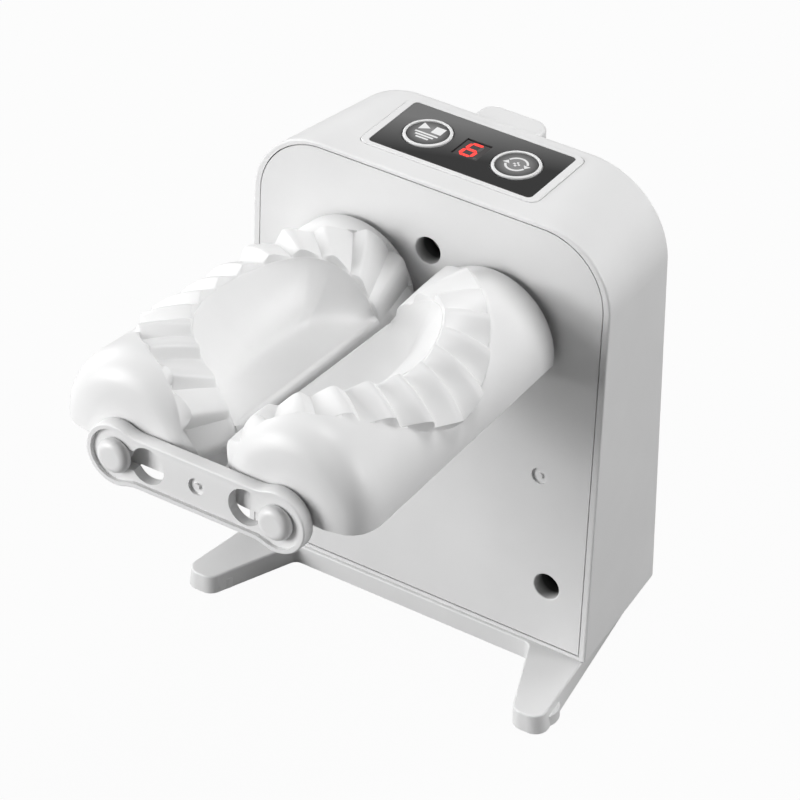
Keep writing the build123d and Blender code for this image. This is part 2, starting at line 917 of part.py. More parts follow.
# Motor: a can with its shaft hole, nose and terminals; the shaft carries the pinion
with BuildPart() as drive_motor:
    can_plane = on_panel(*motor_place, -plate_back)
    extrude(disc(can_plane, motor_radius), amount=-motor_length)
    fillet(drive_motor.edges().filter_by(GeomType.CIRCLE), motor_rounding)
    extrude(disc(can_plane, motor_nose_radius), amount=motor_nose_height)
    can_back = can_plane.offset(-motor_length)
    extrude(disc(can_back, motor_tail_radius), amount=-motor_tail_height)
    shaft_hole = disc(can_plane.offset(motor_nose_height), motor_shaft_radius + running_play)
    extrude(shaft_hole, amount=motor_shaft_room / 2 - motor_nose_height - motor_length, mode=Mode.SUBTRACT)
    with BuildSketch(can_plane):
        with PolarLocations(motor_screw_circle, 2, 90):
            Circle(small_screw_radius + screw_play)
    extrude(amount=-motor_hole_depth, mode=Mode.SUBTRACT)
    terminals = slab(can_back.offset(join), terminal_width, terminal_thickness, 0, terminal_places)
    extrude(terminals, amount=-join - terminal_height)
keep(drive_motor.part, "drive_motor")

with BuildPart() as motor_shaft:
    extrude(
        disc(on_panel(*motor_place, motor_shaft_room - plate_back - motor_length), motor_shaft_radius),
        amount=plate_back + motor_length - motor_shaft_room - first_start + motor_shaft_lead,
    )
keep(motor_shaft.part, "motor_shaft")

with BuildPart() as motor_pinion:
    extrude(
        gear_outline(
            on_panel(*motor_place, -train_end),
            first_module,
            pinion_teeth,
            motor_phase,
            motor_shaft_radius + press_play,
        ),
        amount=train_end - first_start + motor_pinion_lead,
    )
keep(motor_pinion.part, "motor_pinion")

keep(
    screws(
        [
            on_panel(motor_place[0], motor_place[1] + side * motor_screw_circle, -plate_front)
            for side in (1, -1)
        ],
        small_screw_radius,
        plate_thickness + motor_screw_bite,
        motor_screw_head_radius,
        small_head_height,
    ),
    "motor_screws",
)


def groove_plane(angle_in, along_in, radius_in, angle_out, along_out, radius_out, frame, side):
    """A plane across a pleat groove, with its up direction away from the roller's axis."""
    inner = Vector(
        side * radius_in * math.cos(angle_in), radius_in * math.sin(angle_in), ring_centre + along_in
    )
    outer = Vector(
        side * radius_out * math.cos(angle_out), radius_out * math.sin(angle_out), ring_centre + along_out
    )
    middle = (inner + outer) / 2
    along = (outer - inner).normalized()
    away = Vector(middle.X, middle.Y, 0).normalized()
    across = away.cross(along).normalized()
    place = frame.location * Pos(middle.X, middle.Y, middle.Z)
    turned = Plane(origin=(0, 0, 0), x_dir=across, z_dir=along)
    world = frame.location * turned.location
    return Plane(Location(place.position, world.orientation)), (outer - inner).length


def surface_angle(reach, radius):
    """Where a circle about the nip line crosses a circle about the roller's axis."""
    cosine = (reach**2 - radius**2 - half_spacing**2) / (2 * half_spacing * radius)
    return math.acos(max(-1.0, min(1.0, cosine)))


ring_centre = roller_gap + roller_length / 2 - ring_shift
crest_radius = half_spacing - nip_play


def bowl_stations():
    """Distances along the nip from the ring's middle at which the bowl's outline is given."""
    end = math.sqrt(bowl_radius**2 - (half_spacing - crest_radius) ** 2) * 0.995
    return [end * math.sin(math.radians(step)) for step in range(-90, 91, 15)]


def bowl_section(along):
    """The right bowl's round section: through its rim and the lip, and deepest half way between them."""
    rim = surface_angle(math.sqrt(bowl_radius**2 - along**2), crest_radius)
    half_turn = (math.pi - rim) / 2
    middle = (math.pi + rim) / 2
    floor = crest_radius - (crest_radius - bowl_floor) * math.sqrt(1 - (along / bowl_radius) ** 2)
    level = crest_radius * math.cos(half_turn)
    radius = (floor**2 + crest_radius**2 - 2 * floor * level) / (2 * (level - floor))
    reach = floor + radius
    place = (reach * math.cos(middle), reach * math.sin(middle))
    return disc(on_panel(half_spacing, 0, ring_centre + along), radius, [place])


with BuildPart() as right_bowl:
    loft(sections=[bowl_section(along) for along in bowl_stations()], ruled=True)
bowls = {1: right_bowl.part, -1: right_bowl.part.mirror(Plane.YZ)}


def pleated_ring(side):
    """The raised ring round the bowl, cut by pleat grooves that run outwards from the bowl's rim."""
    frame = on_panel(side * half_spacing, 0)
    rear = Plane(origin=frame.offset(roller_gap).origin, x_dir=face_right * side, z_dir=face_out)
    with BuildPart() as part:
        extrude(disc(rear, crest_radius), amount=roller_length)
        with Locations(on_panel(0, 0, ring_centre).location):
            Sphere(ring_radius, mode=Mode.INTERSECT)
        add(bowls[side], mode=Mode.SUBTRACT)
        grooves = pleats if side > 0 else pleats - 1
        radius_in = crest_radius - pleat_inner_depth
        radius_out = crest_radius - pleat_outer_depth
        spread = pleat_height * math.tan(math.radians(pleat_opening))
        for groove in range(grooves):
            turn = math.radians(pleat_span / pleats * (groove - (grooves - 1) / 2))
            plane, length = groove_plane(
                surface_angle(pleat_inner_radius * math.cos(turn), radius_in),
                pleat_inner_radius * math.sin(turn),
                radius_in,
                surface_angle(pleat_outer_radius * math.cos(turn), radius_out),
                pleat_outer_radius * math.sin(turn),
                radius_out,
                frame,
                side,
            )
            with BuildSketch(plane):
                with BuildLine():
                    Polyline((0, 0), (spread, pleat_height), (-spread, pleat_height), close=True)
                make_face()
            extrude(amount=length / 2 + pleat_overrun, both=True, mode=Mode.SUBTRACT)
    return part.part


def roller(side):
    """A half-drum mould: a domed drum, a pleated ring round a bowl, and a hub along its axis."""
    frame = on_panel(side * half_spacing, 0)
    end = roller_gap + roller_length
    with BuildPart() as part:
        # drum that widens on its outer side towards its domed front end, hollowed by the bowl
        rear_place = (-side * drum_shift, drum_rise)
        front_place = (side * (drum_flare - drum_shift), drum_rise)
        rear_disc = disc(frame.offset(roller_gap), drum_radius, [rear_place])
        front_disc = disc(frame.offset(end), drum_radius + drum_flare, [front_place])
        loft(sections=[rear_disc, front_disc], ruled=True)
        fillet(part.edges().sort_by(face_axis)[-1], dome_rounding)
        add(bowls[side], mode=Mode.SUBTRACT)
        add(pleated_ring(side))
        # flat underside, lower along the nip than on the outer side
        middle = (frame.location * Pos(0, drum_floor, end / 2)).position
        below = Plane(origin=middle, x_dir=face_right, z_dir=face_up)
        outer_half = slab(below, 2 * crest_radius, 2 * end, 0, [(side * crest_radius, 0)])
        extrude(outer_half, amount=-2 * crest_radius, mode=Mode.SUBTRACT)
        inner_half = slab(below.offset(nip_floor - drum_floor), 4 * crest_radius, 2 * end)
        extrude(inner_half, amount=-2 * crest_radius, mode=Mode.SUBTRACT)
        # hub along the axis
        extrude(disc(frame.offset(roller_gap), hub_radius), amount=roller_length)
        # core-out under the outer half of the drum
        core_place = (side * (hub_radius + core_gap + core_width / 2), 0)
        core = slab(below, core_width, roller_length - 2 * core_end, 0, [core_place])
        extrude(core, amount=core_height, mode=Mode.SUBTRACT)
        # socket for the drive end, and the bore for the pin
        with BuildSketch(frame.offset(roller_gap)):
            RegularPolygon(drive_flats / 2 + drive_play, 6, major_radius=False)
        extrude(amount=drive_length + drive_room, mode=Mode.SUBTRACT)
        pin_bore = disc(frame.offset(end), slot_half_width - pin_play + press_play)
        extrude(pin_bore, amount=-pin_anchor - pin_room, mode=Mode.SUBTRACT)
    return part.part


keep(roller(1), "right_roller")
keep(roller(-1), "left_roller")


def roller_pin(side):
    """A mushroom-headed pin, pressed into the roller's front end."""
    frame = on_panel(side * half_spacing, 0)
    end = roller_gap + roller_length
    with BuildPart() as part:
        stem = disc(frame.offset(end - pin_anchor), slot_half_width - pin_play)
        extrude(stem, amount=head_back - end + pin_anchor + join)
        extrude(disc(frame.offset(head_back), pin_head_radius), amount=pin_head_height)
        crown = part.edges().sort_by(face_axis)[-1]
        fillet(crown, pin_head_height * pin_crown_share)
    return part.part


keep(roller_pin(1), "right_roller_pin")
keep(roller_pin(-1), "left_roller_pin")

# Keyhole bracket that ties the rollers' front ends together
with BuildPart() as roller_bracket:
    bracket_plane = on_panel(0, 0, bracket_back)
    with BuildSketch(bracket_plane) as bracket_outline:
        Rectangle(roller_spacing, 2 * bracket_waist)
        with Locations((-half_spacing, 0), (half_spacing, 0)):
            Circle(bracket_end_radius)
        fillet(bracket_outline.vertices(), bracket_neck_rounding)
    extrude(amount=bracket_thickness)
    rim_edges = roller_bracket.faces().sort_by(Axis.Y)[0].edges()
    back_edges = roller_bracket.faces().sort_by(Axis.Y)[-1].edges()
    fillet(rim_edges + back_edges, bracket_rounding)
    with BuildSketch(bracket_plane.offset(bracket_thickness)):
        add(bracket_outline.sketch_local)
        offset(amount=-bracket_rim)
    extrude(amount=-bracket_recess, mode=Mode.SUBTRACT)
    for side in (1, -1):
        with BuildSketch(bracket_plane):
            with Locations((side * (half_spacing - keyhole_offset), 0)):
                Circle(keyhole_radius)
            with Locations((side * (half_spacing - keyhole_offset / 2), 0)):
                SlotCenterToCenter(keyhole_offset, 2 * slot_half_width)
        extrude(amount=bracket_thickness, mode=Mode.SUBTRACT)
    web_plane = bracket_plane.offset(bracket_thickness - bracket_recess)
    extrude(disc(web_plane, dimple_radius), amount=-dimple_depth, mode=Mode.SUBTRACT)
    extrude(disc(web_plane.offset(-dimple_depth), nub_radius), amount=dimple_depth - nub_drop)
keep(roller_bracket.part, "roller_bracket")

# Control strip: a white bezel that holds the black strip, and carries the board below on four legs
button_places = [(x, 0) for x in button_xs]
with BuildPart() as control_bezel:
    extrude(
        slab(Plane((0, control_y, bezel_floor)), control_length, control_width, control_corner - seam),
        amount=control_recess + control_proud,
    )
    fillet(control_bezel.edges().group_by(Axis.Z)[-1], bezel_rounding)
    extrude(
        slab(
            Plane((0, control_y, overlay_bottom)),
            control_length - 2 * control_rim,
            control_width - 2 * control_rim_depth,
            control_corner / 2,
        ),
        amount=overlay_thickness + through,
        mode=Mode.SUBTRACT,
    )
    cut = control_recess + control_proud + through
    below = Plane((0, control_y, bezel_floor))
    extrude(disc(below, button_radius + button_play, button_places), amount=cut, mode=Mode.SUBTRACT)
    extrude(slab(below, window_width, window_length), amount=cut, mode=Mode.SUBTRACT)
    legs = disc(below.offset(join), board_post_radius, board_post_places)
    extrude(legs, amount=board_top - bezel_floor - join)
    pilots = disc(Plane((0, control_y, board_top)), board_screw_radius + screw_play, board_post_places)
    extrude(pilots, amount=board_screw_bite + join, mode=Mode.SUBTRACT)
keep(control_bezel.part, "control_bezel")

with BuildPart() as control_overlay:
    strip_plane = Plane((0, control_y, overlay_bottom))
    extrude(
        slab(
            strip_plane,
            control_length - 2 * control_rim - seam,
            control_width - 2 * control_rim_depth - seam,
            control_corner / 2,
        ),
        amount=overlay_thickness,
    )
    extrude(
        disc(strip_plane, button_radius + button_play, button_places),
        amount=overlay_thickness,
        mode=Mode.SUBTRACT,
    )
    extrude(slab(strip_plane, window_width, window_length), amount=overlay_thickness, mode=Mode.SUBTRACT)
keep(control_overlay.part, "control_overlay")

with BuildPart() as control_board:
    board_plane = Plane((0, control_y, board_bottom))
    extrude(slab(board_plane, board_length, board_width, board_corner), amount=board_thickness)
    board_holes = disc(board_plane, board_screw_radius + seam, board_post_places)
    extrude(board_holes, amount=board_thickness, mode=Mode.SUBTRACT)
keep(control_board.part, "control_board")

with BuildPart() as board_parts:
    under = Plane(origin=(0, control_y, board_bottom), x_dir=(1, 0, 0), z_dir=(0, 0, -1))
    chip_place, chip_outline, chip_height = driver_chip
    extrude(slab(under, *chip_outline, 0, [chip_place]), amount=chip_height)
    connector_outline, connector_height = connector_size
    extrude(slab(under, *connector_outline, 0, connector_places), amount=connector_height)
    extrude(disc(under, buzzer_radius, [buzzer_place]), amount=buzzer_height)
keep(board_parts.part, "board_parts")

keep(
    screws(
        [
            Plane(origin=(x, control_y + y, board_bottom), z_dir=(0, 0, -1))
            for x, y in board_post_places
        ],
        board_screw_radius,
        board_thickness + board_screw_bite,
        board_screw_head_radius,
        board_screw_head_height,
    ),
    "board_screws",
)

with BuildPart() as digit_display:
    display_plane = Plane((0, control_y, board_top))
    extrude(
        slab(display_plane, window_width - 2 * display_play, window_length - 2 * display_play),
        amount=overlay_top - display_drop - board_top,
    )
keep(digit_display.part, "digit_display")

with BuildPart() as tact_switches:
    switch_plane = Plane((0, control_y, board_top))
    extrude(slab(switch_plane, switch_side, switch_side, 0, button_places), amount=switch_height)
    extrude(
        disc(switch_plane.offset(switch_floor), plunger_radius + plunger_play, button_places),
        amount=switch_height,
        mode=Mode.SUBTRACT,
    )
keep(tact_switches.part, "tact_switches")

plunger_bottom = board_top + switch_floor + plunger_room + button_travel
plunger_top = board_top + switch_height + plunger_lead
flange_top = bezel_floor - end_play
flange_bottom = flange_top - button_flange
button_top = overlay_top + button_proud
for button_name, plunger_name, x in (
    ("manual_button", "manual_plunger", button_xs[0]),
    ("auto_button", "auto_plunger", button_xs[1]),
):
    with BuildPart() as button:
        flange_plane = Plane((x, control_y, flange_bottom))
        extrude(disc(flange_plane, button_radius + button_flange), amount=button_flange)
        extrude(disc(flange_plane, button_radius), amount=button_top - flange_bottom)
        fillet(button.edges().group_by(Axis.Z)[-1], button_rounding)
        extrude(disc(flange_plane, button_stem_radius), amount=plunger_top - flange_bottom)
    keep(button.part, button_name)
    with BuildPart() as plunger:
        plunger_plane = Plane((x, control_y, plunger_bottom))
        extrude(disc(plunger_plane, plunger_radius), amount=plunger_top - plunger_bottom)
    keep(plunger.part, plunger_name)

# Charging socket on its small board, in the hump
with BuildPart() as charging_socket:
    socket_plane = Plane(origin=(0, socket_face_y, socket_z), x_dir=(1, 0, 0), z_dir=(0, 1, 0))
    extrude(slab(socket_plane, socket_width, socket_height, socket_corner), amount=-socket_length)
    inner = slab(
        socket_plane,
        socket_width - 2 * socket_wall,
        socket_height - 2 * socket_wall,
        socket_corner - socket_wall,
    )
    extrude(inner, amount=socket_floor - socket_length, mode=Mode.SUBTRACT)
    tongue_plane = socket_plane.offset(socket_floor - tongue_root - socket_length)
    tongue_length = socket_length - socket_floor + tongue_root - tongue_set_in
    extrude(slab(tongue_plane, tongue_width, tongue_thickness), amount=tongue_length)
keep(charging_socket.part, "charging_socket")

with BuildPart() as charging_board:
    board_back_y = rear_y + hump_depth - hump_skin - seam
    extrude(
        slab(
            Plane((0, board_back_y - charge_board_length / 2, charge_board_bottom)),
            charge_board_width,
            charge_board_length,
        ),
        amount=charge_board_thickness,
    )
keep(charging_board.part, "charging_board")

# Battery cell in its holder, on the housing's floor
cell_plane = Plane(origin=(-cell_length / 2, cell_y, cell_z), x_dir=(0, 1, 0), z_dir=(1, 0, 0))
with BuildPart() as battery_cell:
    extrude(disc(cell_plane, cell_radius), amount=cell_length)
    fillet(battery_cell.edges().filter_by(GeomType.CIRCLE), cell_rounding)
keep(battery_cell.part, "battery_cell")

with BuildPart() as battery_holder:
    holder_width = 2 * (cell_radius + holder_floor)
    holder_outline = slab(Plane((0, cell_y, floor_z)), 2 * holder_half, holder_width, holder_corner)
    extrude(holder_outline, amount=holder_height)
    trough = Plane(origin=(holder_wall - holder_half, cell_y, cell_z), x_dir=(0, 1, 0), z_dir=(1, 0, 0))
    extrude(disc(trough, cell_radius + cell_play), amount=2 * (holder_half - holder_wall), mode=Mode.SUBTRACT)
keep(battery_holder.part, "battery_holder")

with BuildPart() as battery_contacts:
    for side in (1, -1):
        contact_plane = Plane(
            origin=(side * (holder_half - holder_wall - contact_thickness), cell_y, cell_z),
            x_dir=(0, 1, 0),
            z_dir=(side, 0, 0),
        )
        extrude(slab(contact_plane, contact_width, contact_height), amount=contact_thickness)
keep(battery_contacts.part, "battery_contacts")

os.makedirs("parts", exist_ok=True)
for name, piece in pieces.items():
    export_step(piece, f"parts/{name}.step")
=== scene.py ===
import json
import math

import bmesh
import bpy
from mathutils import Matrix, Vector


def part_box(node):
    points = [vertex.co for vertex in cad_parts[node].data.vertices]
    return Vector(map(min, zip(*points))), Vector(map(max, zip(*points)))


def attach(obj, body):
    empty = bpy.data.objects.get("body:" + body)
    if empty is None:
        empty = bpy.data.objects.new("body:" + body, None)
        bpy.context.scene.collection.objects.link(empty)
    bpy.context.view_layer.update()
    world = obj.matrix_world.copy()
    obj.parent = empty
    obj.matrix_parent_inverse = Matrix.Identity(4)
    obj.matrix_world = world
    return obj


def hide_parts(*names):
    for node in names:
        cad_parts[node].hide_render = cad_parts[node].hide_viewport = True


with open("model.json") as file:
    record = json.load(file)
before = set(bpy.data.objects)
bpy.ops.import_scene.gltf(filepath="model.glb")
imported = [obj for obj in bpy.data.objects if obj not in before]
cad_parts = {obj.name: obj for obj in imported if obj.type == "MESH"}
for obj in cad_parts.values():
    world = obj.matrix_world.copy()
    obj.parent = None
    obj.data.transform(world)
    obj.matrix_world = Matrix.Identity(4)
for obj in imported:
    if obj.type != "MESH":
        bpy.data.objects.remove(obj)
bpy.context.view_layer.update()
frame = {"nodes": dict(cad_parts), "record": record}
nodes = frame["nodes"]
MM = 0.001

# The leaning panel's frame: x to the right, up the panel, and forward out of it, from the point
# of its face between the two rollers' axes
LEAN = math.radians(3.45)
AXIS_ORIGIN = Vector((0.0, 27.664, 90.8)) * MM
UP = Vector((0.0, math.sin(LEAN), math.cos(LEAN)))
OUT = Vector((0.0, -math.cos(LEAN), math.sin(LEAN)))
HALF_SPACING = 23.0
PANEL_FRAME = Matrix.Translation(AXIS_ORIGIN) @ Matrix(((1, 0, 0), UP, OUT)).transposed().to_4x4()


# Materials, with lengths in metres

# depths behind the panel's face where the painted shade in the screw wells starts and where it is
# full
WELL_SHADE_START, WELL_SHADE_END = 0.0008, 0.004
# where the painted reflection on the black strip runs, left to right and front to rear
STRIP_LEFT, STRIP_RIGHT, STRIP_FRONT, STRIP_REAR = -0.024, 0.024, 0.036, 0.060
# radius of the painted shading on the button discs
DISC_RADIUS = 0.0056

finish = {}


def new_material(name):
    """Adds a finish; gives its node tree, its shader and the place on the object."""
    material = bpy.data.materials.new(name)
    material.use_nodes = True
    finish[name] = material
    tree = material.node_tree
    place = tree.nodes.new("ShaderNodeTexCoord")
    return tree, tree.nodes["Principled BSDF"], place.outputs["Object"]


def noise(tree, place, scale, detail, stretch=None):
    """A noise pattern over the object's own place, as a value."""
    if stretch:
        mapping = tree.nodes.new("ShaderNodeMapping")
        mapping.inputs["Scale"].default_value = stretch
        tree.links.new(place, mapping.inputs["Vector"])
        place = mapping.outputs["Vector"]
    node = tree.nodes.new("ShaderNodeTexNoise")
    node.inputs["Scale"].default_value = scale
    node.inputs["Detail"].default_value = detail
    tree.links.new(place, node.inputs["Vector"])
    return node.outputs["Fac"]


def spread(tree, value, low, high, low_in=0.35, high_in=0.65):
    """The value brought from one range to another."""
    node = tree.nodes.new("ShaderNodeMapRange")
    node.inputs["From Min"].default_value = low_in
    node.inputs["From Max"].default_value = high_in
    node.inputs["To Min"].default_value = low
    node.inputs["To Max"].default_value = high
    tree.links.new(value, node.inputs["Value"])
    return node.outputs["Result"]


def mixed(tree, value, dark, light, low_in=0.35, high_in=0.65):
    """A colour between two, chosen by a value."""
    node = tree.nodes.new("ShaderNodeValToRGB")
    dark_end, light_end = node.color_ramp.elements
    dark_end.position, light_end.position = low_in, high_in
    dark_end.color, light_end.color = (*dark, 1), (*light, 1)
    tree.links.new(value, node.inputs["Fac"])
    return node.outputs["Color"]


def bumped(tree, shader, value, distance):
    """Relief of a given height from a value."""
    node = tree.nodes.new("ShaderNodeBump")
    node.inputs["Distance"].default_value = distance
    node.inputs["Strength"].default_value = 1.0
    tree.links.new(value, node.inputs["Height"])
    tree.links.new(node.outputs["Normal"], shader.inputs["Normal"])


def grey(value):
    return (value, value, value)


def moulded(name, dark, light, rough, grain=1400, bump=0.000003, flow=28, metallic=0.0, coat=0.0):
    """Moulded plastic: faint flow clouds in the colour, fine grain in gloss and relief."""
    tree, shader, place = new_material(name)
    colour = mixed(tree, noise(tree, place, flow, 3), dark, light)
    gloss = spread(tree, noise(tree, place, grain / 9, 3), *rough)
    tree.links.new(colour, shader.inputs["Base Color"])
    tree.links.new(gloss, shader.inputs["Roughness"])
    bumped(tree, shader, noise(tree, place, grain, 2), bump)
    shader.inputs["Metallic"].default_value = metallic
    shader.inputs["Coat Weight"].default_value = coat
    shader.inputs["Coat Roughness"].default_value = 0.08
    return tree, shader, place


def turned(name, dark, light, rough, stretch):
    """Drawn or turned metal: fine lines along one direction."""
    tree, shader, place = new_material(name)
    lines = noise(tree, place, 900, 4, stretch)
    tree.links.new(mixed(tree, lines, dark, light), shader.inputs["Base Color"])
    tree.links.new(spread(tree, lines, *rough), shader.inputs["Roughness"])
    bumped(tree, shader, lines, 0.00001)
    shader.inputs["Metallic"].default_value = 1.0


def panel_plastic(name, dark, light, rough, bump):
    """The panel's white plastic, with painted shade darkening it down its deep screw wells."""
    tree, shader, place = moulded(name, dark, light, rough, bump=bump)
    depth = tree.nodes.new("ShaderNodeVectorMath")
    depth.operation = "DOT_PRODUCT"
    tree.links.new(place, depth.inputs[0])
    depth.inputs[1].default_value = -OUT
    face = AXIS_ORIGIN.dot(-OUT)
    start, end = face + WELL_SHADE_START, face + WELL_SHADE_END
    shade = tree.nodes.new("ShaderNodeMix")
    shade.data_type = "RGBA"
    plain, painted_well_shade, result = shade.inputs[6], shade.inputs[7], shade.outputs[2]
    factor = spread(tree, depth.outputs["Value"], 0.0, 1.0, start, end)
    tree.links.new(factor, shade.inputs["Factor"])
    tree.links.new(shader.inputs["Base Color"].links[0].from_socket, plain)
    # the painted well shade, nearly black
    painted_well_shade.default_value = (*grey(0.03), 1)
    tree.links.new(result, shader.inputs["Base Color"])


def strip_with_painted_reflection(name):
    """Glossy black acrylic with a painted reflection in its colour, lighter towards the rear left
    corner.
    """
    tree, shader, place = new_material(name)
    split = tree.nodes.new("ShaderNodeSeparateXYZ")
    tree.links.new(place, split.inputs["Vector"])
    across = spread(tree, split.outputs["X"], 0.35, -0.35, STRIP_LEFT, STRIP_RIGHT)
    along = spread(tree, split.outputs["Y"], 0.0, 1.0, STRIP_FRONT, STRIP_REAR)
    reflection_fade = tree.nodes.new("ShaderNodeMath")
    reflection_fade.operation = "ADD"
    tree.links.new(across, reflection_fade.inputs[0])
    tree.links.new(along, reflection_fade.inputs[1])
    # painted reflection: near black at the front right, dark grey towards the rear left
    colour = mixed(tree, reflection_fade.outputs[0], grey(0.003), grey(0.15), 0.3, 1.0)
    tree.links.new(colour, shader.inputs["Base Color"])
    shader.inputs["Specular IOR Level"].default_value = 0.2
    gloss = spread(tree, noise(tree, place, 700, 3), 0.10, 0.16)
    tree.links.new(gloss, shader.inputs["Roughness"])
    bumped(tree, shader, noise(tree, place, 900, 2), 0.000003)


def disc_with_painted_shading(name, centre_x, centre_y):
    """A dark printed disc with painted shading: darkest at the rim and grey in the middle, as on a
    dome.
    """
    tree, shader, place = new_material(name)
    move = tree.nodes.new("ShaderNodeMapping")
    move.inputs["Location"].default_value = (-centre_x / DISC_RADIUS, -centre_y / DISC_RADIUS, 0)
    move.inputs["Scale"].default_value = (1 / DISC_RADIUS, 1 / DISC_RADIUS, 0)
    tree.links.new(place, move.inputs["Vector"])
    painted_shading = tree.nodes.new("ShaderNodeTexGradient")
    painted_shading.gradient_type = "SPHERICAL"
    tree.links.new(move.outputs["Vector"], painted_shading.inputs["Vector"])
    # painted shading: dark at the rim, lighter grey in the middle
    colour = mixed(tree, painted_shading.outputs["Fac"], grey(0.006), grey(0.20), 0.04, 0.62)
    tree.links.new(colour, shader.inputs["Base Color"])
    gloss = spread(tree, noise(tree, place, 900, 3), 0.30, 0.38)
    tree.links.new(gloss, shader.inputs["Roughness"])
    bumped(tree, shader, noise(tree, place, 2400, 2), 0.000006)


def glowing(name, dark, light, strength):
    """A lit segment behind a diffuser, with a faint grain."""
    tree, shader, place = new_material(name)
    colour = mixed(tree, noise(tree, place, 2500, 2), dark, light)
    tree.links.new(colour, shader.inputs["Base Color"])
    tree.links.new(colour, shader.inputs["Emission Color"])
    shader.inputs["Emission Strength"].default_value = strength
    gloss = spread(tree, noise(tree, place, 900, 3), 0.30, 0.40)
    tree.links.new(gloss, shader.inputs["Roughness"])


moulded("white_housing", grey(0.76), grey(0.80), (0.36, 0.44))
panel_plastic("white_panel", grey(0.75), grey(0.79), (0.40, 0.48), 0.000005)
moulded("white_base", grey(0.76), grey(0.80), (0.36, 0.44))
moulded("white_mould", grey(0.78), grey(0.82), (0.40, 0.48))
moulded("white_trim", grey(0.77), grey(0.81), (0.34, 0.40))
moulded("rubber_foot", grey(0.02), grey(0.035), (0.7, 0.85), grain=5000, bump=0.00004)
moulded("natural_gear", (0.68, 0.66, 0.58), (0.76, 0.74, 0.67), (0.35, 0.45))
moulded("plate_plastic", grey(0.19), grey(0.24), (0.5, 0.65), bump=0.00004)
moulded("black_part", grey(0.012), grey(0.022), (0.4, 0.55), bump=0.00003)
moulded("cell_wrap", (0.02, 0.09, 0.30), (0.03, 0.12, 0.36), (0.30, 0.38), coat=0.3)
moulded("board_green", (0.010, 0.075, 0.022), (0.018, 0.11, 0.035), (0.30, 0.40), flow=300)
bronze_dark, bronze_light = (0.42, 0.24, 0.09), (0.52, 0.32, 0.13)
moulded("bushing_bronze", bronze_dark, bronze_light, (0.35, 0.5), bump=0.00002, metallic=1.0)
turned("steel", grey(0.44), grey(0.56), (0.30, 0.38), (1, 0.05, 1))
turned("screw_steel", grey(0.34), grey(0.46), (0.31, 0.40), (1, 1, 1))
turned("motor_can", grey(0.42), grey(0.52), (0.30, 0.42), (1, 0.1, 1))
turned("contact_metal", (0.5, 0.47, 0.36), (0.6, 0.57, 0.46), (0.30, 0.42), (1, 1, 0.1))
turned("socket_metal", grey(0.45), grey(0.58), (0.30, 0.38), (1, 0.2, 1))
# black strip, with a painted reflection in its colour
strip_with_painted_reflection("black_strip")
moulded("display_face", (0.006, 0.003, 0.003), (0.010, 0.004, 0.004), (0.16, 0.24))
moulded("print_white", grey(0.78), grey(0.84), (0.35, 0.45), bump=0.000004)
moulded("button_well", grey(0.004), grey(0.008), (0.30, 0.40))
glowing("segment_lit", (0.80, 0.018, 0.012), (1.0, 0.04, 0.03), 0.75)
moulded("segment_dark", grey(0.035), grey(0.05), (0.35, 0.45))

for row in frame["record"]["subparts"]:
    name, slot = row["node"], row["material_slot"]
    if name in nodes and slot in finish:
        nodes[name].data.materials.clear()
        nodes[name].data.materials.append(finish[slot])


# Mesh helpers, with lengths in mm


def piece(name, verts, faces, material, body, sharp, place=Matrix.Identity(4)):
    """A named mesh object that rides on a body, with edges sharp above an angle."""
    mesh = bpy.data.meshes.new(name)
    mesh.from_pydata([tuple(place @ (Vector(v) * MM)) for v in verts], [], faces)
    made = bmesh.new()
    made.from_mesh(mesh)
    bmesh.ops.remove_doubles(made, verts=made.verts, dist=2e-7)
    bmesh.ops.recalc_face_normals(made, faces=made.faces)
    limit = math.radians(sharp)
    for face in made.faces:
        face.smooth = True
    for edge in made.edges:
        if len(edge.link_faces) == 2 and edge.calc_face_angle() > limit:
            edge.smooth = False
    made.to_mesh(mesh)
    made.free()
    mesh.materials.append(finish[material])
    made_object = bpy.data.objects.new(name, mesh)
    bpy.context.scene.collection.objects.link(made_object)
    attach(made_object, body)
    return made_object


def lathe(profile, centre_x, centre_y, segments=96):
    """Points and faces of a profile of (radius, height) turned about an upright line."""
    verts, faces = [], []
    count = len(profile)
    for step in range(segments):
        angle = 2 * math.pi * step / segments
        for radius, height in profile:
            x, y = radius * math.cos(angle), radius * math.sin(angle)
            verts.append((centre_x + x, centre_y + y, height))
    for step in range(segments):
        here, ahead = step * count, (step + 1) % segments * count
        for row in range(count - 1):
            faces.append((here + row, ahead + row, ahead + row + 1, here + row + 1))
    return verts, faces


def plates(outlines, bottom, thickness, chamfer=0.03):
    """Thin raised shapes with eased top edges, from outlines in the plane."""
    verts, faces = [], []
    for outline in outlines:
        first = len(verts)
        count = len(outline)
        centre_x = sum(p[0] for p in outline) / count
        centre_y = sum(p[1] for p in outline) / count
        for level, inset in ((0, 0), (thickness - chamfer, 0), (thickness, chamfer)):
            for x, y in outline:
                pull = inset / (math.hypot(x - centre_x, y - centre_y) or 1)
                verts.append((x + (centre_x - x) * pull, y + (centre_y - y) * pull, bottom + level))
        for low in (first, first + count):
            for i in range(count):
                j = (i + 1) % count
                faces.append((low + i, low + j, low + count + j, low + count + i))
        faces.append(tuple(first + 2 * count + i for i in range(count)))
        faces.append(tuple(first + count - 1 - i for i in range(count)))
    return verts, faces


# The moulds: drum, bowl and pleated ring on one fan of rays from the ring's middle, over the
# mould's top unrolled into a plane. Lengths are in mm, from the mould's axis and the panel's
# face. Ring angles are in degrees: 0 forward along the nip, 90 outwards, 180 rearwards.

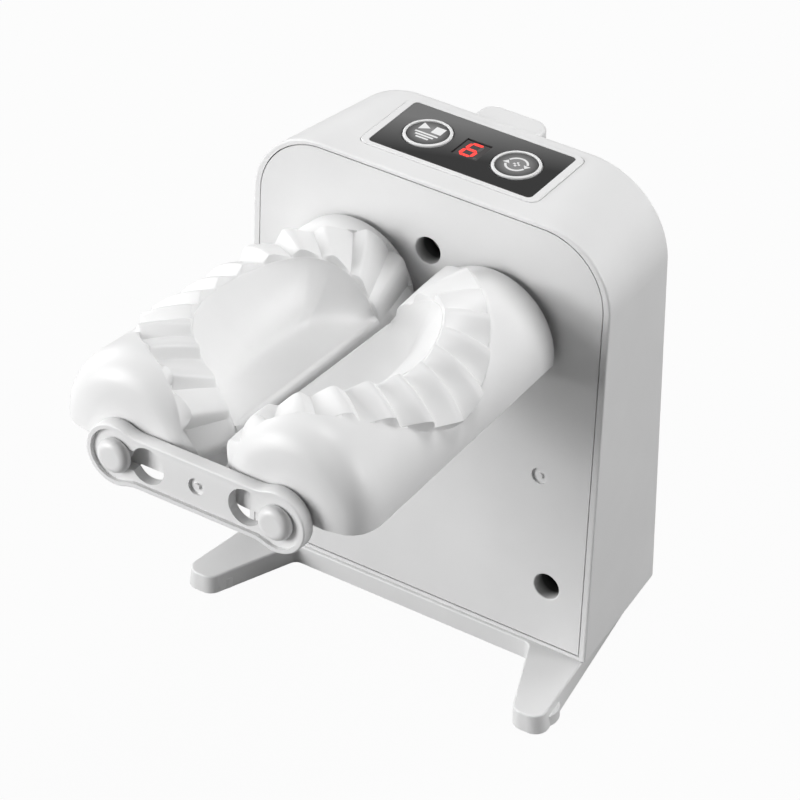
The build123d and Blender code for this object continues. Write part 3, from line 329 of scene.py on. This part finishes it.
RING_MIDDLE = 45.8
REAR_END, FRONT_END = 1.8, 92.2
UNROLL = 20.0
CREST = 22.6
DRUM_RADIUS, DRUM_X, DRUM_Y, DRUM_FLARE = 18.4, -2.7, 2.3, 2.6
DOME_LENGTH, DOME_POWER = 10.0, 2.3
DRUM_FLOOR, NIP_FLOOR, DRUM_OUTER = 0.3, -2.7, 18.3
HUB_RADIUS = 5.5
SOCKET_FLATS, SOCKET_DEPTH = 5.16, 7.6
CORE_GAP, CORE_WIDTH, CORE_END, CORE_HEIGHT, CORE_CORNER = 1.4, 5.2, 10, 8.6, 1

# The bowl: distance of its rim from the ring's middle by ring angle, its lip and its depth
RIM_EDGE = (
    (0, 32.6), (12, 33.1), (26, 34.8), (36, 36.4), (52, 37.6), (74, 38.0), (88, 37.5), (100, 36.8),
    (111, 36.5), (129, 36.2), (138, 35.0), (146, 32.8), (151, 31.4), (155, 30.4), (161, 28.9),
    (180, 27.3),
)
RIM_FILLET = 0.7
LIP, LIP_ROUND = 6.6, 1.1
BOWL_DEPTH, BOWL_MIDDLE = 12.5, 19.0
LIP_SHARES = (0.25, 0.5, 0.7, 0.834, 0.88, 0.92, 0.95, 0.975, 0.992, 1.0)

# The pleats: distance of the ring's outer edge by ring angle, and the pleats' shape
OUTER_EDGE = (
    (0, 44.8), (25, 47.4), (42, 49.2), (54, 49.9), (61, 50.1), (69, 50.9), (78, 52.3), (85, 53.8),
    (91, 54.8), (98, 53.0), (105, 50.9), (110, 49.2), (117, 48.0), (124, 47.2), (133, 46.6),
    (140, 46.8), (146, 47.1), (155, 47.4), (165, 45.3), (180, 43.9),
)
PITCH = 12.0
LEFT_SHIFT = 0.32 * PITCH
FIRST_GROOVE, LAST_GROOVE = 6.0, 174.0
GROOVES = 15
LONG_FLANK, SHORT_FLANK, ROUNDED_FROM, FLAT_FROM = 0.62, 0.26, 0.86, 0.985
RIDGE_RISE, RIDGE_OVER = 3.2, 1.0
GROOVE_DEPTH, GROOVE_LIP, GROOVE_RISE = 1.9, 0.22, 0.35
PLEAT_SHARES = (
    0, 0.06, 0.15, 0.27, 0.40, 0.50, 0.55, 0.60, 0.64, 0.69, 0.74, 0.79, 0.85, 0.92
)
CLOSEST_RAYS = 0.12
BOWL_ROWS, RING_ROWS, DRUM_ROWS = 24, 20, 24


def between(table, value):
    """A value on a table's line of points."""
    for (a, low), (b, high) in zip(table, table[1:]):
        if value <= b:
            return low + (high - low) * (value - a) / (b - a)
    return table[-1][1]


def pleat(psi, left):
    """How high the pleat stands at a ring angle: 0 in a groove, 1 along a ridge."""
    if left:
        psi = 180.0 - psi - LEFT_SHIFT
    if psi <= FIRST_GROOVE - LEFT_SHIFT:
        return 1.0
    share = ((psi - FIRST_GROOVE) / PITCH) % 1.0
    height = min(share / LONG_FLANK, (1.0 - share) / SHORT_FLANK)
    if height > ROUNDED_FROM:
        left_over = 1 - ROUNDED_FROM
        height = ROUNDED_FROM + left_over * (1 - math.exp((ROUNDED_FROM - height) / left_over))
    return min(height, FLAT_FROM) / FLAT_FROM


def drum_reach(theta, z):
    """The drum's skin, from the axis; it widens to the front and ends in a dome."""
    grown = DRUM_FLARE * (z - REAR_END) / (FRONT_END - REAR_END)
    middle = DRUM_X + grown
    radius = DRUM_RADIUS + grown
    if z > FRONT_END - DOME_LENGTH:
        ahead = min(1.0, (z - FRONT_END + DOME_LENGTH) / DOME_LENGTH)
        radius -= DOME_LENGTH * (1 - (1 - ahead**DOME_POWER) ** (1 / DOME_POWER))
    along = middle * math.cos(theta) + DRUM_Y * math.sin(theta)
    return along + math.sqrt(max(0.0, along * along - middle**2 - DRUM_Y**2 + radius**2))


def rim_drop(psi):
    """How far the bowl's edge lies under the crest; it runs out towards the nip."""
    return 0.12 + (GROOVE_DEPTH + 0.1) * min(1.0, 1.5 * math.sin(math.radians(psi)))


def bowl_reach(across, along):
    """The bowl's skin, with its rounded lip along the nip, from the axis."""
    if across < LIP:
        near = max(0.0, LIP_ROUND - LIP + across)
        return CREST - LIP_ROUND + math.sqrt(LIP_ROUND**2 - near**2)
    psi = math.degrees(math.atan2(across, along))
    outwards = min(1.0, math.hypot(across, along) / (between(RIM_EDGE, psi) - RIM_FILLET))
    inwards = max(0.0, (BOWL_MIDDLE - across) / (BOWL_MIDDLE - LIP))
    depth = BOWL_DEPTH * (1 - outwards**2.4) ** 0.8 * max(0.0, 1 - inwards**2.5) ** 0.8
    drop = rim_drop(psi) + (LIP_ROUND - rim_drop(psi)) * inwards**2
    return CREST - drop - depth


def outer_border():
    """Where the unrolled top ends on the outer side."""
    return UNROLL * (math.pi + math.asin(-DRUM_FLOOR / DRUM_OUTER))


def ray_limit(psi):
    """Where a ray leaves the unrolled top: its front, outer or rear border."""
    angle = math.radians(psi)
    limits = [outer_border() / math.sin(angle)] if 0 < psi < 180 else []
    if math.cos(angle) > 1e-9:
        limits.append((FRONT_END - RING_MIDDLE) / math.cos(angle))
    if math.cos(angle) < -1e-9:
        limits.append((REAR_END - RING_MIDDLE) / math.cos(angle))
    return min(limits)


def ring_angles(left):
    """Ring angles of the rays, with one on each groove, ridge edge and corner of the top."""
    angles = {0.0, 180.0}
    for groove in range(GROOVES):
        angles.update(FIRST_GROOVE + PITCH * (groove + share) for share in PLEAT_SHARES)
    if left:
        angles = {0.0, 180.0} | {180.0 - angle - LEFT_SHIFT for angle in angles}
    for step in range(10):
        angles.add(FIRST_GROOVE * step / 10)
        angles.add(LAST_GROOVE + (180 - LAST_GROOVE) * (step + 0.5) / 10)
    ends = (FRONT_END, REAR_END)
    corners = [math.degrees(math.atan2(outer_border(), end - RING_MIDDLE)) for end in ends]
    kept = [0.0]
    for angle in sorted(angles):
        gaps = [angle, 180.0 - angle, angle - kept[-1]] + [abs(angle - c) for c in corners]
        if min(gaps) > CLOSEST_RAYS:
            kept.append(angle)
    return sorted(kept + corners + [180.0])


def ray_points(psi, left):
    """Points along one ray: lip, bowl, rim, ring and drum."""
    angle = math.radians(psi)
    limit = ray_limit(psi)
    outer = min(between(OUTER_EDGE, psi), limit - 0.4)
    rim = between(RIM_EDGE, psi)
    high = pleat(psi, left)

    def spot(place, reach=None):
        theta = math.pi - place * math.sin(angle) / UNROLL
        z = RING_MIDDLE + place * math.cos(angle)
        if reach is None:
            reach = drum_reach(theta, z)
        return reach * math.cos(theta), reach * math.sin(theta), z

    # over the lip and through the bowl
    bowl_end = rim - RIM_FILLET
    lip_end = min(LIP / max(math.sin(angle), 1e-6), 0.97 * bowl_end)
    places = [lip_end * share for share in LIP_SHARES]
    for row in range(1, BOWL_ROWS + 1):
        eased = (1 - math.cos(row / BOWL_ROWS * math.pi)) / 2
        places.append(lip_end + (bowl_end - lip_end) * eased)
    points = []
    for place in places:
        across, along = place * math.sin(angle), place * math.cos(angle)
        if place == lip_end:
            across = min(across, LIP)
        points.append(spot(place, bowl_reach(across, along)))

    # up the rim's rounded edge
    lip = CREST - rim_drop(psi)
    groove_drop = rim_drop(psi) * GROOVE_DEPTH / (GROOVE_DEPTH + GROOVE_LIP)
    inner = CREST - groove_drop * (1 - high)
    points.append(spot(rim - 0.62, lip + 0.13))
    points.append(spot(rim - 0.48, lip + 0.11))
    points.append(spot(rim - 0.15, inner - 0.35 * (inner - lip)))
    points.append(spot(rim, inner - 0.06))

    # along the ring, between the groove's line and the ridge's line
    base = spot(outer)
    base_outer = math.hypot(base[0], base[1])
    highest = CREST * base_outer / max(abs(base[0]), abs(base[1]))
    ridge_outer = min(CREST + RIDGE_OVER, base_outer + RIDGE_RISE, highest)
    groove_inner = CREST - groove_drop
    groove_outer = min(base_outer + GROOVE_RISE, CREST - GROOVE_DEPTH)
    slant = 0.5 + 0.6 * high
    for row in range(RING_ROWS + 1):
        share = row / RING_ROWS
        place = rim + 0.25 + (outer - slant - rim - 0.25) * share
        ridge = CREST + (ridge_outer - CREST) * share**1.2
        groove = groove_inner + (groove_outer - groove_inner) * share
        edge = groove + (ridge - groove) * high
        points.append(spot(place, edge))

    # over the ring's end face and down the drum
    points.append(spot(outer - slant + 0.12, edge - 0.10))
    points.append(spot(outer - 0.10, base_outer + 0.10 + 0.12 * (edge - base_outer)))
    for row in range(1, DRUM_ROWS + 1):
        points.append(spot(outer + (limit - outer) * (row / DRUM_ROWS) ** 1.15))
    return points


def rounded_slot(low_x, high_x, low_z, high_z):
    """Outline of the core-out slot, with its corners rounded."""
    near_x, far_x = low_x + CORE_CORNER, high_x - CORE_CORNER
    near_z, far_z = low_z + CORE_CORNER, high_z - CORE_CORNER
    corners = ((far_x, far_z), (near_x, far_z), (near_x, near_z), (far_x, near_z))
    outline = []
    for quarter, (x, z) in enumerate(corners):
        for step in range(5):
            turn = math.radians(90 * quarter + 22.5 * step)
            outline.append((x + CORE_CORNER * math.cos(turn), z + CORE_CORNER * math.sin(turn)))
    return outline


def mould(name, side, body):
    """One mould with its skin, underside, hub, drive socket and core-out slot."""
    left = side < 0
    rays = [ray_points(psi, left) for psi in ring_angles(left)]
    rows = len(rays[0])
    verts = [(-CREST, 0.0, RING_MIDDLE)]
    for ray in rays:
        verts.extend(ray)
    faces = []
    for column in range(len(rays) - 1):
        a = 1 + column * rows
        b = a + rows
        faces.append((0, a, b))
        for row in range(rows - 1):
            faces.append((a + row, a + row + 1, b + row + 1, b + row))

    # nip wall straight down from the line through the ring's middle, from front to rear
    border = [rows + column * rows for column in range(len(rays))]
    front_line = [1 + row for row in range(rows)]
    rear_line = [1 + (len(rays) - 1) * rows + row for row in range(rows)]
    nip_line = list(reversed(front_line)) + [0] + rear_line
    below = []
    for index in nip_line:
        below.append(len(verts))
        verts.append((verts[index][0], NIP_FLOOR, verts[index][2]))
    for i in range(len(nip_line) - 1):
        faces.append((nip_line[i], nip_line[i + 1], below[i + 1], below[i]))

    made = bmesh.new()
    made_verts = [made.verts.new(v) for v in verts]
    for face in faces:
        made.faces.new([made_verts[i] for i in face])

    def loop_of(points):
        return [made.verts.new(p) for p in points]

    def fill(*loops):
        """A flat face inside the first loop, open where the others are."""
        edges = []
        for loop in loops:
            for a, b in zip(loop, loop[1:] + loop[:1]):
                if a is not b and (a.co - b.co).length >= 1e-9:
                    edges.append(made.edges.get((a, b)) or made.edges.new((a, b)))
        bmesh.ops.triangle_fill(made, use_beauty=True, edges=edges)

    def sink(mouth, deep):
        """The wall and the floor of a blind hole."""
        count = len(mouth)
        for k in range(count):
            made.faces.new((mouth[k], mouth[(k + 1) % count], deep[(k + 1) % count], deep[k]))
        made.faces.new(deep)

    # front end face with the hub's lower half
    outer_step = math.asin(-DRUM_FLOOR / HUB_RADIUS)
    inner_step = math.asin(-NIP_FLOOR / HUB_RADIUS)
    arc = [-outer_step - (math.pi - outer_step - inner_step) * step / 24 for step in range(25)]
    arc = [(HUB_RADIUS * math.cos(a), HUB_RADIUS * math.sin(a)) for a in arc]
    front_border = [made_verts[i] for i in border if abs(verts[i][2] - FRONT_END) < 1e-6]
    front_hub = loop_of([(x, y, FRONT_END) for x, y in arc])
    fill(front_border + front_hub + [made_verts[below[0]]])

    # rear end face, with the hexagonal drive socket
    rear_border = [made_verts[i] for i in border if abs(verts[i][2] - REAR_END) < 1e-6]
    rear_hub = loop_of([(x, y, REAR_END) for x, y in arc])
    reach = SOCKET_FLATS / 2 / math.cos(math.radians(30))
    turns = [math.radians(60 * k) for k in range(6)]
    hexagon = [(reach * math.cos(turn), reach * math.sin(turn)) for turn in turns]
    mouth = loop_of([(x, y, REAR_END) for x, y in hexagon])
    deep = loop_of([(x, y, REAR_END + SOCKET_DEPTH) for x, y in hexagon])
    sink(mouth, deep)
    fill(list(reversed(rear_border)) + rear_hub + [made_verts[below[-1]]], mouth)

    # hub's lower half
    for k in range(len(arc) - 1):
        made.faces.new((front_hub[k], front_hub[k + 1], rear_hub[k + 1], rear_hub[k]))

    # flat underside on the outer side, with the core-out slot
    floor_border = [
        made_verts[i] for i in border if abs(verts[i][1] - DRUM_FLOOR) < 0.25 and verts[i][0] > 0
    ]
    low_x = HUB_RADIUS + CORE_GAP
    slot = rounded_slot(low_x, low_x + CORE_WIDTH, REAR_END + CORE_END, FRONT_END - CORE_END)
    mouth = loop_of([(x, DRUM_FLOOR, z) for x, z in slot])
    deep = loop_of([(x, DRUM_FLOOR + CORE_HEIGHT, z) for x, z in slot])
    sink(mouth, deep)
    fill([front_hub[0]] + floor_border + [rear_hub[0]], mouth)

    # flat underside on the nip side
    fill([front_hub[-1]] + [made_verts[i] for i in below] + [rear_hub[-1]])

    bmesh.ops.remove_doubles(made, verts=made.verts, dist=1e-4)
    made.verts.index_update()
    all_verts = [(side * v.co.x, v.co.y, v.co.z) for v in made.verts]
    all_faces = [tuple(v.index for v in face.verts) for face in made.faces]
    made.free()
    place = PANEL_FRAME @ Matrix.Translation(Vector((side * HALF_SPACING, 0, 0)) * MM)
    return piece(name, all_verts, all_faces, "white_mould", body, 32.0, place)


for side, name, body in (
    (1, "right_mould_body", "right_mould"),
    (-1, "left_mould_body", "left_mould"),
):
    moulded_piece = mould(name, side, body)
    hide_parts("right_roller" if side > 0 else "left_roller")


# Buttons: a white ring, a dark groove and a printed disc with painted shading, with a raised mark

button_low, button_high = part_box("manual_button")
BUTTON_TOP = button_high.z / MM
BUTTON_BOTTOM = button_low.z / MM
CONTROL_Y = (button_low.y + button_high.y) / 2 / MM
MARK_STROKE = 0.55

# Profiles of (radius, depth under the button's top) and (radius, height over its bottom)
RING_TOP = (
    (5.50, 0.42), (5.50, 0.10), (5.56, 0.03), (5.64, 0), (5.98, 0), (6.12, 0.04), (6.22, 0.13),
    (6.28, 0.26), (6.3, 0.45),
)
RING_FLANGE = ((6.3, 1.0), (7.15, 1.0), (7.3, 0.85), (7.3, 0.1), (7.2, 0), (5.50, 0))
DISC_TOP = (
    (5.49, 0.55), (5.42, 0.55), (5.34, 0.50), (5.28, 0.30), (5.2, 0.24), (5.05, 0.21), (4.2, 0.17),
    (3.0, 0.15), (1.5, 0.14), (0.0005, 0.14),
)


def bar(x0, y0, x1, y1):
    """A thin four-sided stroke between two points."""
    length = math.hypot(x1 - x0, y1 - y0)
    nx, ny = (y0 - y1) / length * MARK_STROKE / 2, (x1 - x0) / length * MARK_STROKE / 2
    return [(x0 + nx, y0 + ny), (x0 - nx, y0 - ny), (x1 - nx, y1 - ny), (x1 + nx, y1 + ny)]


def arc_band(start, end, radius=2.75, width=0.6, steps=18):
    """A curved stroke round the disc's middle, as short four-sided lengths."""
    low, high = radius - width / 2, radius + width / 2
    shapes = []
    for step in range(steps):
        a = math.radians(start + (end - start) * step / steps)
        b = math.radians(start + (end - start) * (step + 1) / steps)
        corners = ((low, a), (high, a), (high, b), (low, b))
        shapes.append([(reach * math.cos(turn), reach * math.sin(turn)) for reach, turn in corners])
    return shapes


manual_mark = [
    [(-3.2, 0.35), (-0.5, 1.95), (-3.2, 3.55)],
    [(0.5, 0.45), (3.3, 0.45), (3.3, 3.45), (0.5, 3.45)],
    bar(-3.3, -0.7, 3.3, -0.7),
    bar(-2.6, -1.75, 2.6, -1.75),
    bar(-1.8, -2.8, 1.8, -2.8),
]
auto_mark = arc_band(20, 160) + arc_band(200, 340) + [
    [(1.75, 0.55), (3.65, 0.55), (2.7, -0.75)],
    [(-1.75, -0.55), (-3.65, -0.55), (-2.7, 0.75)],
    bar(-0.95, 0.0, 0.95, 0.0),
    bar(0.0, -0.95, 0.0, 0.95),
]
ring = [(radius, BUTTON_TOP - depth) for radius, depth in RING_TOP]
ring += [(radius, BUTTON_BOTTOM + height) for radius, height in RING_FLANGE]
ring.append(ring[0])
disc = [(5.49, BUTTON_BOTTOM + 0.3)]
disc += [(radius, BUTTON_TOP - depth) for radius, depth in DISC_TOP]
for key, body, marks in (
    ("manual_button", "manual_key", manual_mark),
    ("auto_button", "auto_key", auto_mark),
):
    low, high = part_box(key)
    centre_x = (low.x + high.x) / 2 / MM
    # the disc's dark print, with painted shading lighter in the middle
    disc_with_painted_shading(key + "_disc", centre_x * MM, CONTROL_Y * MM)
    verts, faces = lathe(ring, centre_x, CONTROL_Y)
    made_ring = piece(key + "_ring", verts, faces, "white_trim", body, 50)
    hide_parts(key)
    verts, faces = lathe(disc, centre_x, CONTROL_Y)
    piece(key + "_disc", verts, faces, key + "_disc", body, 60)
    moved = [[(centre_x + x, CONTROL_Y + y) for x, y in outline] for outline in marks]
    verts, faces = plates(moved, BUTTON_TOP - 0.20, 0.12)
    piece(key + "_mark", verts, faces, "print_white", body, 30)


# The display's seven segments and its point: the digit 6 is lit

SEGMENT_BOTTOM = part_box("digit_display")[1].z / MM - 0.05
HALF_DIGIT, DIGIT_RISE, STROKE, GAP = 1.65, 2.75, 0.92, 0.10
POINT_X, POINT_Y, POINT_RADIUS = 3.05, -DIGIT_RISE - 0.05, 0.42


def segment(x0, y0, x1, y1):
    """One six-sided segment of the digit."""
    length = math.hypot(x1 - x0, y1 - y0)
    ux, uy = (x1 - x0) / length * STROKE / 2, (y1 - y0) / length * STROKE / 2
    return [
        (x0, y0), (x0 + ux - uy, y0 + uy + ux), (x1 - ux - uy, y1 - uy + ux),
        (x1, y1), (x1 - ux + uy, y1 - uy - ux), (x0 + ux + uy, y0 + uy - ux),
    ]


def slanted(outline):
    """An outline leaned like the digit and put in its place."""
    return [(x + 0.10 * y - 0.15, CONTROL_Y + y) for x, y in outline]


lit = [
    segment(-HALF_DIGIT + GAP, DIGIT_RISE, HALF_DIGIT - GAP, DIGIT_RISE),
    segment(-HALF_DIGIT, DIGIT_RISE - GAP, -HALF_DIGIT, GAP),
    segment(-HALF_DIGIT + GAP, 0, HALF_DIGIT - GAP, 0),
    segment(-HALF_DIGIT, -GAP, -HALF_DIGIT, GAP - DIGIT_RISE),
    segment(HALF_DIGIT, -GAP, HALF_DIGIT, GAP - DIGIT_RISE),
    segment(-HALF_DIGIT + GAP, -DIGIT_RISE, HALF_DIGIT - GAP, -DIGIT_RISE),
]
turns = [2 * math.pi * k / 20 for k in range(20)]
point = [(POINT_RADIUS * math.cos(turn), POINT_RADIUS * math.sin(turn)) for turn in turns]
unlit = [
    segment(HALF_DIGIT, DIGIT_RISE - GAP, HALF_DIGIT, GAP),
    [(POINT_X + x, POINT_Y + y) for x, y in point],
]
verts, faces = plates([slanted(outline) for outline in lit], SEGMENT_BOTTOM, 0.09, 0.02)
piece("digit_lit_segments", verts, faces, "segment_lit", "housing", 30)
verts, faces = plates([slanted(outline) for outline in unlit], SEGMENT_BOTTOM, 0.08, 0.02)
piece("digit_unlit_segments", verts, faces, "segment_dark", "housing", 30)


# Stage: a floor and a world that are white to the camera, and soft lamps, with lengths in metres

FLOOR_REACH, FLOOR_GREY, FLOOR_WHITE = 4.0, 0.35, 0.96
ROOM_LIGHT = 0.02
LAMP_DISTANCE, LAMP_SIZE, LAMP_AIM = 1.3, 0.55, Vector((0, 0.01, 0.07))


def stage_floor():
    """A grey floor that takes the shadow, drawn nearly white where the camera sees it."""
    material = bpy.data.materials.new("stage_floor")
    material.use_nodes = True
    tree = material.node_tree
    tree.nodes.clear()
    out = tree.nodes.new("ShaderNodeOutputMaterial")
    diffuse = tree.nodes.new("ShaderNodeBsdfDiffuse")
    diffuse.inputs["Color"].default_value = (*grey(FLOOR_GREY), 1)
    white = tree.nodes.new("ShaderNodeEmission")
    path = tree.nodes.new("ShaderNodeLightPath")
    share = tree.nodes.new("ShaderNodeMath")
    share.operation = "MULTIPLY"
    share.inputs[1].default_value = FLOOR_WHITE
    mix = tree.nodes.new("ShaderNodeMixShader")
    tree.links.new(path.outputs["Is Camera Ray"], share.inputs[0])
    tree.links.new(share.outputs[0], mix.inputs["Fac"])
    tree.links.new(diffuse.outputs[0], mix.inputs[1])
    tree.links.new(white.outputs[0], mix.inputs[2])
    tree.links.new(mix.outputs[0], out.inputs["Surface"])
    mesh = bpy.data.meshes.new("stage_floor")
    signs = ((-1, -1), (1, -1), (1, 1), (-1, 1))
    corners = [(FLOOR_REACH * x, FLOOR_REACH * y, 0) for x, y in signs]
    mesh.from_pydata(corners, [], [(0, 1, 2, 3)])
    mesh.materials.append(material)
    floor = bpy.data.objects.new("stage_floor", mesh)
    bpy.context.scene.collection.objects.link(floor)


def studio_world():
    """White where it is seen, reflected or seen through, and a faint room light elsewhere."""
    world = bpy.data.worlds.new("studio")
    bpy.context.scene.world = world
    world.use_nodes = True
    tree = world.node_tree
    tree.nodes.clear()
    out = tree.nodes.new("ShaderNodeOutputWorld")
    mix = tree.nodes.new("ShaderNodeMixShader")
    for strength, socket in ((ROOM_LIGHT, mix.inputs[1]), (1.0, mix.inputs[2])):
        background = tree.nodes.new("ShaderNodeBackground")
        background.inputs["Color"].default_value = (1, 1, 1, 1)
        background.inputs["Strength"].default_value = strength
        tree.links.new(background.outputs[0], socket)
    path = tree.nodes.new("ShaderNodeLightPath")
    seen = path.outputs["Is Camera Ray"]
    for kind in ("Is Transmission Ray", "Is Glossy Ray"):
        either = tree.nodes.new("ShaderNodeMath")
        either.operation = "MAXIMUM"
        tree.links.new(seen, either.inputs[0])
        tree.links.new(path.outputs[kind], either.inputs[1])
        seen = either.outputs[0]
    tree.links.new(seen, mix.inputs["Fac"])
    tree.links.new(mix.outputs[0], out.inputs["Surface"])


def soft_lamp(name, azimuth, elevation, power):
    """A square soft lamp aimed at the object's middle from an azimuth and elevation, in degrees."""
    a, e = math.radians(azimuth), math.radians(elevation)
    back = Vector((math.sin(a) * math.cos(e), -math.cos(a) * math.cos(e), math.sin(e)))
    data = bpy.data.lights.new(name, "AREA")
    data.shape = "SQUARE"
    data.size = LAMP_SIZE
    data.energy = power
    lamp = bpy.data.objects.new(name, data)
    lamp.location = LAMP_AIM + back * LAMP_DISTANCE
    lamp.rotation_euler = back.to_track_quat("Z", "Y").to_euler()
    bpy.context.scene.collection.objects.link(lamp)


stage_floor()
studio_world()
soft_lamp("lamp_left", -100, 20, 4.4)
soft_lamp("lamp_front", -40, 20, 8.9)
soft_lamp("lamp_front_low", -40, 5, 8.6)
soft_lamp("lamp_right", 110, 25, 8.2)
soft_lamp("lamp_back_top", 170, 70, 8.8)


# Camera, at the photo's angle and distance

camera_data = bpy.data.cameras.new("camera")
camera_data.lens = 178.5
camera_data.sensor_width = 36.0
camera = bpy.data.objects.new("camera", camera_data)
camera.location = (0.4463, -0.6452, 0.6494)
camera.rotation_euler = Vector((0.4527, -0.6713, 0.5870)).to_track_quat("Z", "Y").to_euler()
bpy.context.scene.collection.objects.link(camera)
bpy.context.scene.camera = camera
bpy.context.scene.view_settings.view_transform = "Standard"
